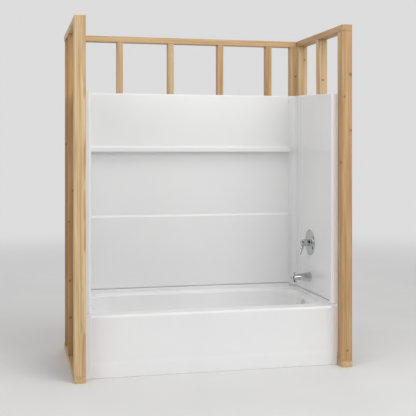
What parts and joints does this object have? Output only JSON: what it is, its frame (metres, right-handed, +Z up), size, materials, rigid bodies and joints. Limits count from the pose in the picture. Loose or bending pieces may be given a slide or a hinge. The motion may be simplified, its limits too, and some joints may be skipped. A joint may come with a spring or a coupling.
{
  "type": "tub and shower unit",
  "caption": "Apron-front bath with a moulded three-panel wall surround in a timber stud frame, with lever mixing valve, diverter spout and trip-lever waste.",
  "frame": {"origin": "on the floor, midway across and midway front to back", "axes": "+Z up, +Y from the apron towards the back wall, +X towards the end with the taps"},
  "size_m": [1.652, 0.906, 2.055],
  "materials": {
    "pine": "planed, bare",
    "white_gloss": "polished",
    "bed_foam": "cut foam",
    "chrome": "polished",
    "brass": "as machined",
    "copper": "drawn, bare",
    "white_plastic": "moulded",
    "black_rubber": "moulded"
  },
  "bodies": {
    "unit": {"back_ledger": "pine", "back_sole_plate": "pine", "back_stud_1": "pine", "back_stud_2": "pine", "back_stud_3": "pine", "back_stud_4": "pine", "back_stud_5": "pine", "back_stud_6": "pine", "back_top_plate": "pine", "left_front_post": "pine", "left_middle_stud": "pine", "left_rear_stud": "pine", "left_sole_plate": "pine", "left_top_plate": "pine", "right_front_post": "pine", "right_middle_stud": "pine", "right_rear_stud": "pine", "right_sole_plate": "pine", "right_top_plate": "pine", "pipe_backing_board": "pine", "tub": "white_gloss", "back_wall_panel": "white_gloss", "left_end_panel": "white_gloss", "right_end_panel": "white_gloss", "tub_bed_pad": "bed_foam", "drain_strainer": "chrome", "overflow_plate": "chrome", "overflow_screw_1": "chrome", "overflow_screw_2": "chrome", "escutcheon": "chrome", "trim_sleeve": "chrome", "escutcheon_screw_1": "chrome", "escutcheon_screw_2": "chrome", "tub_spout": "chrome", "valve_body": "brass", "bonnet_nut": "brass", "shower_port_plug": "brass", "spout_elbow": "brass", "spout_nipple": "brass", "hot_supply_pipe": "copper", "cold_supply_pipe": "copper", "spout_drop_pipe": "copper", "drain_shoe": "white_plastic", "waste_tube": "white_plastic", "waste_tee": "white_plastic", "riser_slip_nut": "white_plastic", "tee_slip_nut": "white_plastic", "shoe_slip_nut": "white_plastic", "overflow_head": "white_plastic", "overflow_tube": "white_plastic", "valve_cartridge": "white_plastic", "drain_gasket": "black_rubber", "overflow_gasket": "black_rubber"},
    "handle": {"lever_handle": "chrome", "valve_stem": "brass"},
    "diverter": {"diverter_knob": "chrome", "diverter_gate": "brass"},
    "trip": {"trip_lever": "chrome"},
    "drain_plunger": {"linkage_rod": "brass", "plunger": "brass"}
  },
  "joints": [
    {"name": "handle_turn", "type": "hinge", "parent": "unit", "child": "handle", "pos_m": [0.7097, 0.067, 0.696], "axis": [-1, 0, 0], "range_deg": [0, 200]},
    {"name": "diverter_lift", "type": "slide", "parent": "unit", "child": "diverter", "axis": [0, 0, 1], "range_m": [0, 0.015]},
    {"name": "trip_lever_tilt", "type": "hinge", "parent": "unit", "child": "trip", "pos_m": [0.6999, 0.067, 0.288], "axis": [0, 1, 0], "range_deg": [0, 26]},
    {"name": "plunger_drop", "type": "slide", "parent": "unit", "child": "drain_plunger", "axis": [0, 0, -1], "range_m": [0, 0.0164]}
  ],
  "couplings": [
    {"joint": "trip_lever_tilt", "follows": "plunger_drop", "rad_per_m": 27.56}
  ]
}
